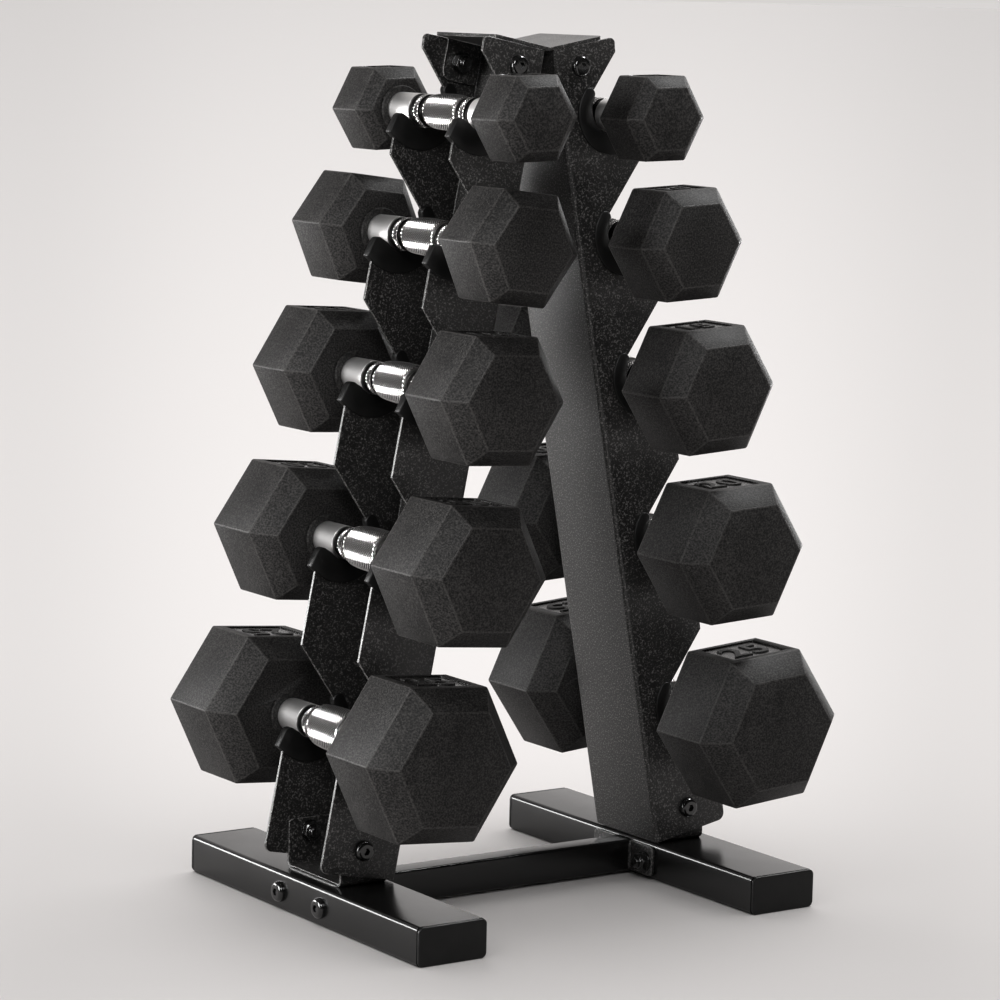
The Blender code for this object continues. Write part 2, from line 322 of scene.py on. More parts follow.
def add_piece(name, mesh, finish, body, matrix=Matrix(), node=None):
    """Puts a piece in its place; its points keep their own place, and its faces their zone."""
    made = mesh.copy()
    marks = made.attributes.new("place", "FLOAT_VECTOR", "POINT")
    for mark, vertex in zip(marks.data, made.vertices):
        mark.vector = vertex.co
    zones = made.attributes.new("zone", "FLOAT", "FACE")
    for mark, polygon in zip(zones.data, made.polygons):
        mark.value = polygon.material_index
        polygon.material_index = 0
    made.transform(matrix)
    made.materials.clear()
    made.materials.append(finish)
    piece = bpy.data.objects.new(name, made)
    bpy.context.scene.collection.objects.link(piece)
    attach(piece, body)
    if node:
        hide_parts(node)
    return piece


def weld_bead(length, radius):
    """A run of weld along Z, rippled where each pool of metal froze over the last."""
    rings = [(0.0, 0.0, False)]
    steps = int(length / RIPPLE * 6)
    for step in range(steps + 1):
        share = step / steps
        ripple = abs(math.sin(math.pi * length * share / RIPPLE))
        ends = min(1.0, 6 * radius * min(share, 1 - share) / 0.002 + 0.35)
        rings.append((length * share, radius * ends * (0.82 + 0.18 * ripple), False))
    rings.append((length, 0.0, False))
    return lathe(rings, 14)


# One black powder on tubes and sheet alike: the sheet coat's paler black and brighter pebble tops are
# painted light, a lit copy of the tube coat.
GLOSS_BLACK = (0.003, 0.0029, 0.0028)
GLOSS_GLINT = (0.008, 0.0077, 0.0075)
LIT_SATIN_BLACK = (0.011, 0.0106, 0.0104)
LIT_SATIN_GLINT = (0.16, 0.155, 0.151)
tube_coat = powder_coat("tube_powder_coat", 0.19, 0.00003, GLOSS_BLACK, GLOSS_GLINT)
lit_sheet_coat = powder_coat("lit_sheet_powder_coat", 0.30, 0.00007, LIT_SATIN_BLACK, LIT_SATIN_GLINT)
tab_reach = CHANNEL_WIDTH / 2 - STRIP - CAP_GAP
for word, side in SIDES.items():
    low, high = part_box(word + "_foot")
    cap_low, cap_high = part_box(f"{word}_front_foot_cap")
    foot_x = (cap_low.x + cap_high.x) / 2
    half_width = (cap_high.x - cap_low.x) / 2
    foot_top = cap_high.z
    outer = rounded((foot_x - half_width, 0), (foot_x + half_width, foot_top), FOOT_CORNER)
    inner_low = (foot_x - half_width + FOOT_WALL, FOOT_WALL)
    inner_high = (foot_x + half_width - FOOT_WALL, foot_top - FOOT_WALL)
    inner = rounded(inner_low, inner_high, FOOT_CORNER - FOOT_WALL)
    bore = prism(inner, low.y - OVERCUT, high.y + OVERCUT, "Y")
    tube = softened(combined(prism(outer, low.y, high.y, "Y"), ("DIFFERENCE", bore)), TUBE_EDGE)
    add_piece(word + "_foot_tube", tube, tube_coat, "rack", node=word + "_foot")
    front_bend = (BEND - tab_reach, foot_top + BEND)
    rear_bend = (tab_reach - BEND, foot_top + BEND)
    strip = [(-tab_reach, BRACKET_TOP)] + arc(front_bend, BEND, 180, 270, 6)
    strip += arc(rear_bend, BEND, 270, 360, 6) + [(tab_reach, BRACKET_TOP)]
    strip += [(tab_reach - STRIP, BRACKET_TOP)] + arc(rear_bend, BEND - STRIP, 360, 270, 4)
    strip += arc(front_bend, BEND - STRIP, 270, 180, 4) + [(STRIP - tab_reach, BRACKET_TOP)]
    ends = sorted((side * BRACKET_IN, side * BRACKET_OUT))
    corner = (BRACKET_OUT - TAB_CORNER, BRACKET_TOP - TAB_CORNER)
    shape = [(BRACKET_IN, foot_top - 0.001), (BRACKET_OUT, foot_top - 0.001)]
    shape += arc(corner, TAB_CORNER, 0, 90, 6) + [(BRACKET_IN, BRACKET_TOP)]
    shape = [(side * x, z) for x, z in shape]
    trim = prism(shape, -CHANNEL_WIDTH, CHANNEL_WIDTH, "Y")
    bracket = softened(combined(prism(strip, ends[0], ends[1], "X"), ("INTERSECT", trim)), SHEET_EDGE)
    add_piece(word + "_foot_bracket", bracket, lit_sheet_coat, "rack")
    for edge, x in (("outer", BRACKET_OUT), ("inner", BRACKET_IN)):
        bead = weld_bead(2 * (tab_reach - BEND), BEAD)
        turn = Matrix.Translation((side * x, BEND - tab_reach, foot_top))
        turn = turn @ Matrix.Rotation(-math.pi / 2, 4, "X")
        add_piece(f"{word}_foot_{edge}_weld", bead, lit_sheet_coat, "rack", turn)


# Foot end caps. Moulded polyethylene plugs pushed into the tube ends, with a rounded flange
# that covers the cut edge.
CAP_CORNER = 0.0042
CAP_EDGE = 0.0012
CAP_PLUG = 0.012
PLUG_CORNER = 0.001


def black_plastic(name, roughness):
    """Moulded plastic: black, with a faint grain from the mould and hand marks in its sheen."""
    made, where = new_finish(name, Specular_IOR_Level=0.35)
    cloud = where.grain(60.0, 3.0)
    tone = cloud.step(0.3, 0.8).blend((0.003, 0.0029, 0.0028), (0.0075, 0.0073, 0.0072))
    varies(made, "Base Color", tone)
    varies(made, "Roughness", roughness + 0.12 * cloud)
    varies(made, "Normal", where.bump(0.00005 * where.grain(1500.0)))
    return made


cap_plastic = black_plastic("cap_plastic", 0.33)
for word in SIDES:
    for end, front in ENDS.items():
        node = f"{word}_{end}_foot_cap"
        low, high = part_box(node)
        middle = (low + high) / 2
        half = (high - low) / 2
        thickness = 2 * half.y - CAP_PLUG
        flange = prism(rounded((-half.x, -half.z), (half.x, half.z), CAP_CORNER), 0, thickness)
        inset = FOOT_WALL + CAP_GAP
        plug_x = half.x - inset
        plug_z = half.z - inset
        plug_outline = rounded((-plug_x, -plug_z), (plug_x, plug_z), PLUG_CORNER)
        plug = prism(plug_outline, thickness / 3, 2 * half.y)
        cap = combined(softened(flange, CAP_EDGE, 3), ("UNION", plug))
        face_y = low.y if front < 0 else high.y
        turn = Matrix.Translation((middle.x, face_y, middle.z))
        turn = turn @ Matrix.Rotation(front * math.pi / 2, 4, "X")
        add_piece(f"{word}_{end}_cap_plug", cap, cap_plastic, "rack", turn, node)


# Crossbar. A small tube between the feet with a plate welded on each end, which is bolted to
# the inner side of the foot.
BAR_CORNER = 0.002
PLATE_CORNER = 0.004
PLATE_WIDTH = 0.076
PLATE_BOTTOM = 0.003
PLATE_TOP = 0.0265
BAR_DEPTH = 0.019

low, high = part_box("crossbar")
bar = prism(rounded((-BAR_DEPTH / 2, low.z), (BAR_DEPTH / 2, high.z), BAR_CORNER), low.x, high.x, "X")
add_piece("crossbar_tube", softened(bar, TUBE_EDGE), tube_coat, "rack", node="crossbar")
for word, side in SIDES.items():
    outside = high.x if side > 0 else low.x
    faces = sorted((outside, outside - side * STRIP))
    outline = rounded((-PLATE_WIDTH / 2, PLATE_BOTTOM), (PLATE_WIDTH / 2, PLATE_TOP), PLATE_CORNER)
    plate = softened(prism(outline, faces[0], faces[1], "X"), SHEET_EDGE)
    add_piece(word + "_bar_plate", plate, lit_sheet_coat, "rack")
    for end, front in ENDS.items():
        bead = weld_bead(high.z - low.z - 0.002, BEAD * 0.8)
        place = Matrix.Translation((outside - side * STRIP, front * BAR_DEPTH / 2, low.z + 0.001))
        add_piece(f"{word}_{end}_bar_weld", bead, lit_sheet_coat, "rack", place)


# Uprights. Each is one channel folded from 2.5 mm sheet with its open side outward. A hooked seat
# is cut in both flanges for every tier, and the two channels lean together at the top.
LEAN = math.radians(10.93)
CHANNEL_BOTTOM = 0.0305
CHANNEL_TOP = 0.645
FLANGE_DEPTH = 0.066
TOP_FLANGE_DEPTH = 0.0555
OUTER_BEND = 0.0035
CHANNEL_EDGE = 0.0004
SEAT_RADIUS = 0.0175
SEAT_OUT = 0.044
SEAT_HEIGHTS = (0.594, 0.5018, 0.3937, 0.2697, 0.1347)
LINER_WALL = 0.0025
FIT_GAP = 0.0003
HORN_OUT = 0.0195
HORN_UP = -0.0155
HORN_RADIUS = 0.005
# The flange's own horn inside the liner: its inner and outer corner from the liner's horn, how
# far its top is above it, and how far the top drops by the outer edge.
CORE_INNER = -0.003
CORE_OUTER = 0.0013
CORE_RISE = 0.0023
CORE_SLOPE = 0.0019
TIP_CORNER = 0.004
TIP_STEP = 0.0005
BOTTOM_CORNER = 0.006


def seat_edge(height, clearance):
    """Flange edge through one seat, from its back to the horn and on to the outer edge."""
    radius = SEAT_RADIUS + LINER_WALL + clearance
    top = HORN_UP + CORE_RISE - clearance
    horn = (
        (HORN_OUT + CORE_INNER, top),
        (HORN_OUT + CORE_OUTER - clearance / 3, top),
        (FLANGE_DEPTH - SEAT_OUT + FIT_GAP - clearance, top - CORE_SLOPE),
    )
    edge = arc((SEAT_OUT, height), radius, 135, 310, 28)
    return edge + [(SEAT_OUT + out, height + up) for out, up in horn]


def flange_outline():
    rise = (SEAT_RADIUS + LINER_WALL + FIT_GAP) * math.sqrt(2) - SEAT_OUT
    tip = (TOP_FLANGE_DEPTH - TIP_CORNER, CHANNEL_TOP - TIP_CORNER)
    outline = [(0, CHANNEL_BOTTOM), (0, CHANNEL_TOP)] + arc(tip, TIP_CORNER, 90, -20, 8)
    outline.append((TOP_FLANGE_DEPTH - TIP_STEP, SEAT_HEIGHTS[0] + rise + TOP_FLANGE_DEPTH))
    for tier, height in enumerate(SEAT_HEIGHTS):
        if tier:
            outline.append((FLANGE_DEPTH, height + rise + FLANGE_DEPTH))
        outline += seat_edge(height, FIT_GAP)
    corner = (FLANGE_DEPTH - BOTTOM_CORNER, CHANNEL_BOTTOM + BOTTOM_CORNER)
    return outline + arc(corner, BOTTOM_CORNER, 0, -90, 8)


def section():
    """The channel's cross-section, out from the web and across it."""
    half = CHANNEL_WIDTH / 2
    bend = half - OUTER_BEND
    inner_bend = OUTER_BEND - STRIP
    reach = FLANGE_DEPTH + OVERCUT
    points = [(reach, half)] + arc((OUTER_BEND, bend), OUTER_BEND, 90, 180, 6)
    points += arc((OUTER_BEND, -bend), OUTER_BEND, 180, 270, 6) + [(reach, -half), (reach, STRIP - half)]
    points += arc((OUTER_BEND, -bend), inner_bend, 270, 180, 4)
    return points + arc((OUTER_BEND, bend), inner_bend, 180, 90, 4) + [(reach, half - STRIP)]


def upright_frame(side):
    """From out, up and across on an upright to its leaning place."""
    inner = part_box("right_upright")[0].x if side > 0 else -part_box("left_upright")[1].x
    web_foot = side * (inner + CHANNEL_TOP * math.sin(LEAN))
    turn = Matrix.Rotation(0 if side > 0 else math.pi, 4, "Z") @ Matrix.Rotation(-LEAN, 4, "Y")
    return Matrix.Translation((web_foot, 0, 0)) @ turn @ Matrix.Rotation(math.pi / 2, 4, "X")


blank = prism(flange_outline(), -CHANNEL_WIDTH, CHANNEL_WIDTH)
fold = prism(section(), 0, CHANNEL_TOP + OVERCUT, "Y")
channel = softened(combined(blank, ("INTERSECT", fold)), CHANNEL_EDGE)
for word, side in SIDES.items():
    place = upright_frame(side)
    add_piece(word + "_channel", channel, lit_sheet_coat, "rack", place, word + "_upright")


# Top bracket. One plate folded into a shallow V over both channel ends, with two welded tabs
# down inside each channel for the bolts.
WING_OUT = 0.045
WING_CORNER = 0.005
WING_EDGE = 0.0006
TAB_OUT = 0.036
TAB_IN = 0.006
TAB_LENGTH = 0.030
TAB_ROUND = 0.008

low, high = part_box("top_bracket")
plate_low = CHANNEL_TOP + FIT_GAP
plate_high = plate_low + STRIP
low_tip = upright_frame(1) @ Vector((WING_OUT, plate_low, 0))
high_tip = upright_frame(1) @ Vector((WING_OUT, plate_high, 0))
fold_line = upright_frame(1) @ Vector((0, plate_low, 0))
fold_low = fold_line.z - fold_line.x * math.tan(LEAN)
fold_high = fold_low + STRIP / math.cos(LEAN)
outline = [(-low_tip.x, low_tip.z), (0, fold_low), (low_tip.x, low_tip.z)]
outline += [(high_tip.x, high_tip.z), (0, fold_high), (-high_tip.x, high_tip.z)]
rim_x = high_tip.x + 0.001
rim_outline = rounded((-rim_x, low.y), (rim_x, high.y), WING_CORNER)
rim = prism(rim_outline, fold_low - OVERCUT, high_tip.z + OVERCUT)
wings = softened(combined(prism(outline, low.y, high.y, "Y"), ("INTERSECT", rim)), WING_EDGE)
add_piece("top_plate", wings, lit_sheet_coat, "rack", node="top_bracket")
tab = [(TAB_IN, CHANNEL_TOP), (TAB_IN, CHANNEL_TOP - TAB_LENGTH)]
tab += arc((TAB_OUT - TAB_ROUND, CHANNEL_TOP - TAB_LENGTH + TAB_ROUND), TAB_ROUND, -90, 0, 8)
tab.append((TAB_OUT, CHANNEL_TOP))
tab_y = CHANNEL_WIDTH / 2 - STRIP - FIT_GAP
for word, side in SIDES.items():
    for end, front in ENDS.items():
        faces = sorted((side * front * tab_y, side * front * (tab_y - STRIP)))
        ear = softened(prism(tab, -faces[1], -faces[0]), SHEET_EDGE)
        add_piece(f"{word}_{end}_top_tab", ear, lit_sheet_coat, "rack", upright_frame(side))


# Bolts and nuts. Button-head socket screws in black oxide, with a washer under the nut: two at
# the top and two at the bottom of each upright, and two through each foot.
BOLT_RADIUS = 0.004
HEAD_RADIUS = 0.0077
HEAD_RISE = 0.0042
HEAD_RIM = 0.0007
DOME_STEPS = 9
KEY_FLAT = 0.0025
KEY_DEPTH = 0.0024
NUT_FLAT = 0.0065
NUT_DEPTH = 0.0065
NUT_FACE = 0.0062
NUT_CORNER = 0.0076
WASHER_RADIUS = 0.008
WASHER_DEPTH = 0.0015
THREAD_STEP = 0.0004
THREAD_END = 0.0031


def black_oxide():
    """Oiled black oxide over steel: glossy, with a faintly cloudy tone."""
    made, where = new_finish("black_oxide", Metallic=0.2, Specular_IOR_Level=0.8, Coat_Weight=0.6)
    cloud = where.grain(500.0, 3.0)
    tone = cloud.step(0.35, 0.75).blend((0.004, 0.004, 0.004), (0.016, 0.0155, 0.015))
    varies(made, "Base Color", tone)
    varies(made, "Roughness", 0.10 + 0.12 * cloud)
    varies(made, "Normal", where.bump(0.00002 * where.grain(2500.0)))
    return made


def hexagon(flat, start=0):
    corner = flat / math.cos(math.pi / 6)
    return arc((0, 0), corner, start, start + 300, 5)


dome = [(0, 0, False), (0, HEAD_RADIUS, False)]
for step in range(DOME_STEPS + 1):
    share = step / DOME_STEPS
    height = HEAD_RIM + (HEAD_RISE - HEAD_RIM) * math.sin(share * math.pi / 2)
    dome.append((height, HEAD_RADIUS * (1 - 0.42 * share ** 2.2), False))
dome.append((HEAD_RISE, 0, False))
key = prism(hexagon(KEY_FLAT), HEAD_RISE - KEY_DEPTH, HEAD_RISE + OVERCUT)
bolt_head = combined(lathe(dome, 40), ("DIFFERENCE", key))
bolt_head.shade_smooth()
bolt_head.set_sharp_from_angle(angle=math.radians(35))
thread = [(-0.001, 0, False), (-0.001, BOLT_RADIUS, False)]
for turn in range(9):
    height = NUT_DEPTH - 0.0005 + turn * THREAD_STEP
    thread.append((height, BOLT_RADIUS - THREAD_STEP * (turn % 2), False))
thread_top = NUT_DEPTH + THREAD_END
thread += [(thread_top, BOLT_RADIUS - 0.0009, False), (thread_top, 0, False)]
washer = prism(arc((0, 0), WASHER_RADIUS, 0, 350, 35), 0, WASHER_DEPTH)
crown = [(0, 0, False), (0, NUT_FACE, False), (0.0014, NUT_CORNER, False)]
crown += [(NUT_DEPTH - 0.0012, NUT_CORNER, False), (NUT_DEPTH, NUT_FACE, False), (NUT_DEPTH, 0, False)]
nut = prism(hexagon(NUT_FLAT, 15), 0.0005, NUT_DEPTH)
nut = combined(nut, ("INTERSECT", lathe(crown, 48)), ("UNION", washer))
nut = combined(softened(nut, TUBE_EDGE), ("UNION", lathe(thread, 24)))
oxide = black_oxide()


def add_bolt(name, head_face, nut_face):
    """A bolt head on one face and its nut on the other, on the line between them."""
    outward = (head_face - nut_face).normalized()
    ends = (("bolt", bolt_head, head_face, outward), ("nut", nut, nut_face, -outward))
    for part, mesh, place, facing in ends:
        turn = Matrix.Translation(place) @ facing.to_track_quat("Z", "Y").to_matrix().to_4x4()
        add_piece(f"{name}_{part}", mesh, oxide, "rack", turn)


BOTTOM_BOLT = (0.0325, 0.050)
TOP_BOLT = (0.022, 0.6295)
FOOT_BOLT_Y = 0.0282
FOOT_BOLT_Z = 0.0135
half = CHANNEL_WIDTH / 2
for word, side in SIDES.items():
    for end, front in ENDS.items():
        across = -side * front
        for level, (out, up) in (("bottom", BOTTOM_BOLT), ("top", TOP_BOLT)):
            head_face = upright_frame(side) @ Vector((out, up, across * half))
            nut_face = upright_frame(side) @ Vector((out, up, across * (half - 2 * STRIP - FIT_GAP)))
            add_bolt(f"{word}_{end}_{level}", head_face, nut_face)
        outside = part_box(word + "_foot")[1 if side > 0 else 0].x
        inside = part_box("crossbar")[1 if side > 0 else 0].x - side * STRIP
        head_face = Vector((outside, front * FOOT_BOLT_Y, FOOT_BOLT_Z))
        add_bolt(f"{word}_{end}_foot", head_face, Vector((inside, front * FOOT_BOLT_Y, FOOT_BOLT_Z)))


# Cradle liners. Nylon mouldings of U section pressed over the flange edge at every seat, with a
# rounded finger behind the handle and a low horn in front that keeps it in.
LINER_WIDTH = 0.0065
LINER_DEPTH = 0.0366
LINER_EDGE = 0.0008
LINER_TIP = (0.0276, -0.0257)
FINGER_TURN = 143
BACK_RADIUS = 0.028
NECK_RADIUS = 0.0125


def liner_outline():
    finger = (SEAT_RADIUS + BACK_RADIUS) / 2
    turn = math.radians(FINGER_TURN)
    finger_centre = (finger * math.cos(turn), finger * math.sin(turn))
    points = arc((0, 0), SEAT_RADIUS, FINGER_TURN, 310, 30)
    points += arc((HORN_OUT, HORN_UP), HORN_RADIUS, 110, 29, 8)
    points.append(LINER_TIP)
    points += arc((0, 0), LINER_DEPTH, -53, -214, 26, BACK_RADIUS)
    return points + arc(finger_centre, BACK_RADIUS - finger, 128, -6, 9)


far = LINER_DEPTH + OVERCUT
slot_edge = [(x - SEAT_OUT, y) for x, y in seat_edge(0, 0)]
slot_edge += [(FLANGE_DEPTH - SEAT_OUT + FIT_GAP, -far), (-far, -far), (-far, far)]
slot_edge.append((slot_edge[0][0] + far, slot_edge[0][1] + far))
slot_half = STRIP / 2 + FIT_GAP
moulding = softened(prism(liner_outline(), -LINER_WIDTH / 2, LINER_WIDTH / 2), LINER_EDGE, 3)
liner = combined(moulding, ("DIFFERENCE", prism(slot_edge, -slot_half, slot_half)))
liner.shade_smooth()
liner.set_sharp_from_angle(angle=math.radians(40))
liner_plastic = black_plastic("liner_plastic", 0.36)
seat_drop = SEAT_RADIUS - NECK_RADIUS - FIT_GAP
for word, side in SIDES.items():
    for tier in range(1, 6):
        low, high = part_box(f"{word}_dumbbell_{tier}_handle")
        for end in ENDS:
            node = f"{word}_{end}_cradle_{tier}"
            y = (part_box(node)[0].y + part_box(node)[1].y) / 2
            seat = Matrix.Translation(((low.x + high.x) / 2, y, (low.z + high.z) / 2 + seat_drop))
            turn = seat @ upright_frame(side).to_3x3().to_4x4()
            name = f"{word}_{end}_liner_{tier}"
            add_piece(name, liner, liner_plastic, "rack", turn, node)


# Dumbbell handles. Turned from steel bar and chromed: a barrel grip with a diamond knurl, then a
# groove, a narrow knurled band, a second groove and a smooth neck at each end.
HANDLE_HALF = 0.068
SOCKET_DEPTH = 0.016
GROOVE_RADIUS = 0.0113
GRIP_HALF = 0.021
BAND_IN = 0.027
BAND_OUT = 0.033
NECK_FROM = 0.039
GRIP_RADII = (0.0137, 0.0142, 0.0155, 0.0165, 0.0170)
KNURL = 0.0012
TOOTH = 0.0007
KNURL_SIDES = 74
CHAMFER = 0.0004
BAND_EDGE = NECK_RADIUS - 0.0006
GRIP_TAPER = 0.0012
# How each dumbbell happens to lie in its cradle, lightest first: roll in degrees.
ROLLS = {"left": (2.0, -7.0, -3.0, -5.0, -4.5), "right": (1.5, 3.0, 3.5, 3.0, 4.5)}


def handle_rings(grip_radius):
    """One end of the handle from its end to the middle of the grip."""
    end = HANDLE_HALF + SOCKET_DEPTH - FIT_GAP
    rings = [(end, 0, False), (end, NECK_RADIUS, False), (NECK_FROM + CHAMFER, NECK_RADIUS, False)]
    rings += [(NECK_FROM, NECK_RADIUS - CHAMFER, False), (NECK_FROM, GROOVE_RADIUS, False)]
    rings += [(BAND_OUT, GROOVE_RADIUS, False), (BAND_OUT, BAND_EDGE, False)]
    band_top = BAND_OUT - 0.0003
    band_bottom = BAND_IN + 0.0003
    steps = int((BAND_OUT - BAND_IN) / KNURL)
    for step in range(steps + 1):
        height = band_top + (band_bottom - band_top) * step / steps
        rings.append((height, NECK_RADIUS - TOOTH / 2, 0 < step < steps))
    rings += [(BAND_IN, BAND_EDGE, False), (BAND_IN, GROOVE_RADIUS, False)]
    rings += [(GRIP_HALF, GROOVE_RADIUS, False), (GRIP_HALF, grip_radius - 0.0022, False)]
    steps = int(GRIP_HALF / KNURL)
    for step in range(steps + 1):
        height = (GRIP_HALF - CHAMFER) * (1 - step / steps)
        barrel = grip_radius - GRIP_TAPER * (height / GRIP_HALF) ** 2 - TOOTH / 2
        rings.append((height, barrel, step > 0))
    return rings


def chrome():
    """Bright chrome with fine turning marks, with painted shade down in the grooves and the knurl's
    valleys, where it is also rougher.
    """
    made, where = new_finish("chromed_steel", Metallic=1.0)
    along = where.node("SeparateXYZ", {}, {"Vector": where}, 2)
    out = abs(along)
    beyond_grip = out.step(GRIP_HALF - 0.0005, GRIP_HALF + 0.0005)
    deep = beyond_grip * (1 - out.step(NECK_FROM - 0.0003, NECK_FROM + 0.0003))
    band = out.step(BAND_IN, BAND_IN + 0.0003) * (1 - out.step(BAND_OUT - 0.0003, BAND_OUT))
    crest = where.node("Attribute", {"attribute_name": "crest"}, {}, 2)
    # Painted shade: the grooves and the knurl's valleys are painted near black, and made rougher.
    groove_shade = (deep * (1 - band) + (1 - crest).step(0.15, 0.85)).step(0.0, 1.0)
    varies(made, "Base Color", groove_shade.blend((0.86, 0.85, 0.84), (0.012, 0.0115, 0.011)))
    stretched = where.node("VectorMath", {"operation": "MULTIPLY"}, {0: where, 1: (40.0, 40.0, 4200.0)})
    marks = stretched.grain(1.0, 3.0)
    neck = out.step(NECK_FROM, NECK_FROM + 0.0005)
    varies(made, "Roughness", 0.13 + 0.10 * marks + 0.35 * groove_shade + 0.25 * neck)
    varies(made, "Normal", where.bump(0.000015 * marks))
    return made


bright = chrome()
handles = []
for grip_radius in GRIP_RADII:
    half_rings = handle_rings(grip_radius)
    below = [(-height, radius, toothed) for height, radius, toothed in reversed(half_rings[:-1])]
    handle = lathe(half_rings + below, KNURL_SIDES, TOOTH)
    handle.set_sharp_from_angle(angle=math.radians(35))
    handles.append(handle)


def dumbbell_frame(word, tier):
    """Where one dumbbell lies: the middle of its handle, turned by its roll."""
    low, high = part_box(f"{word}_dumbbell_{tier}_handle")
    roll = math.radians(ROLLS[word][tier - 1])
    return Matrix.Translation((low + high) / 2) @ Matrix.Rotation(-roll, 4, "Y")


for word in SIDES:
    for tier, handle in enumerate(handles, 1):
        node = f"{word}_dumbbell_{tier}_handle"
        matrix = dumbbell_frame(word, tier) @ Matrix.Rotation(math.pi / 2, 4, "X")
        body = f"{word}_dumbbell_{tier}"
        add_piece(f"{word}_grip_{tier}", handle, bright, body, matrix, node)


# Dumbbell heads. Hexagonal iron castings under a skin of moulded rubber, with a bevel at both
# ends, a boss round the handle and the weight raised in a sunk panel on the top flat.
HEADS = (
    (0.0610, 0.0325, 0.0085),
    (0.0805, 0.0395, 0.0125),
    (0.0915, 0.0460, 0.0143),
    (0.1000, 0.0523, 0.0162),
    (0.1115, 0.0528, 0.0175),
)
WEIGHTS = ("5", "10", "15", "20", "25")
FACE_RATIO = 0.732
HEAD_EDGE = 0.0009
BOSS_RADIUS = 0.0175
BOSS_HEIGHT = 0.002
BOSS_EDGE = 0.0006
PANEL_DEPTH = 0.0011
PANEL_CORNER = 0.0025
FIGURE_ROOT = 0.001
FIGURE_RISE = 0.001
PANEL_MARGIN = 0.12


def head_rubber():
    """Moulded rubber: charcoal, fine matt grain, a dusty bloom, a painted highlight along the rounded
    edges and the mould's parting line.
    """
    made, where = new_finish("head_rubber", Specular_IOR_Level=0.30)
    bloom = where.grain(24.0, 4.0, 0.6)
    fine = where.grain(760.0, 2.0, 0.6)
    # The rounded edges are painted paler: a painted highlight on top of the grain and bloom.
    dust_and_edge_highlight = 0.2 * bloom + 0.8 * fine + 0.1 * zone(where, EDGE)
    tone = dust_and_edge_highlight.step(0.36, 0.74).blend((0.003, 0.0028, 0.0028), (0.050, 0.0475, 0.046))
    varies(made, "Base Color", tone)
    varies(made, "Roughness", 0.50 + 0.18 * bloom - 0.12 * zone(where, EDGE) - 0.34 * zone(where, PANEL))
    height = where.node("SeparateXYZ", {}, {"Vector": where}, 1)
    parting = 1 - abs(height).step(0.00015, 0.0005)
    varies(made, "Normal", where.bump(0.00022 * fine + 0.00005 * parting))
    return made


def numeral(text, height, depth):
    """Plain raised figures, standing on Z = 0, centred, with their tops towards +Y."""
    curve = bpy.data.curves.new("figures", "FONT")
    curve.body = text
    curve.align_x = "CENTER"
    curve.align_y = "CENTER"
    curve.size = height / 0.70
    curve.space_character = 1.1
    curve.offset = height * 0.018
    curve.extrude = depth / 2
    curve.resolution_u = 4
    figures = bpy.data.objects.new("figures", curve)
    bpy.context.scene.collection.objects.link(figures)
    bpy.context.view_layer.update()
    made = bpy.data.meshes.new_from_object(figures.evaluated_get(bpy.context.evaluated_depsgraph_get()))
    bpy.data.objects.remove(figures, do_unlink=True)
    shape = bmesh.new()
    shape.from_mesh(made)
    bmesh.ops.remove_doubles(shape, verts=shape.verts, dist=0.00001)
    middle = []
    for axis in (0, 1):
        places = [vertex.co[axis] for vertex in shape.verts]
        middle.append((min(places) + max(places)) / 2)
    bmesh.ops.translate(shape, verts=shape.verts, vec=(-middle[0], -middle[1], depth / 2))
    return to_mesh(shape)


def head_mesh(across_flats, straight, bevel, weight):
    """A head with its handle side down and the numbered flat towards +Y."""
    corner = across_flats / math.sqrt(3)
    face = corner * FACE_RATIO
    length = straight + 2 * bevel
    rings = [(0, 0, False), (0, face, False), (bevel, corner, False)]
    rings += [(length - bevel, corner, False), (length, face, False), (length, 0, False)]
    body = softened(lathe(rings, 6), HEAD_EDGE, 3, 20)
    flat = across_flats / 2
    width = corner * (1 - 2 * PANEL_MARGIN)
    tall = straight * (1 - 1.6 * PANEL_MARGIN)
    centre = length / 2
    panel = rounded((-width / 2, centre - tall / 2), (width / 2, centre + tall / 2), PANEL_CORNER)
    recess = prism([(x, -z) for x, z in panel], 0, OVERCUT)
    for polygon in recess.polygons:
        polygon.material_index = PANEL
    upward = Matrix.Rotation(-math.pi / 2, 4, "X")
    recess.transform(Matrix.Translation((0, flat - PANEL_DEPTH, 0)) @ upward)
    figures = numeral(weight, min(tall * 0.66, width * 0.52), FIGURE_ROOT + FIGURE_RISE)
    figures.transform(Matrix.Translation((0, flat - PANEL_DEPTH - FIGURE_ROOT, centre)) @ upward)
    rings = [(-BOSS_HEIGHT, 0, False), (-BOSS_HEIGHT, BOSS_RADIUS - BOSS_EDGE, False)]
    rings += [(BOSS_EDGE - BOSS_HEIGHT, BOSS_RADIUS, False)]
    rings += [(bevel, BOSS_RADIUS, False), (bevel, 0, False)]
    boss = lathe(rings, 40)
    hole = prism(arc((0, 0), NECK_RADIUS + FIT_GAP, 0, 351, 39), -OVERCUT, SOCKET_DEPTH)
    cuts = (("UNION", boss), ("DIFFERENCE", hole), ("DIFFERENCE", recess), ("UNION", figures))
    head = combined(body, *cuts)
    head.shade_smooth()
    head.set_sharp_from_angle(angle=math.radians(28))
    return head


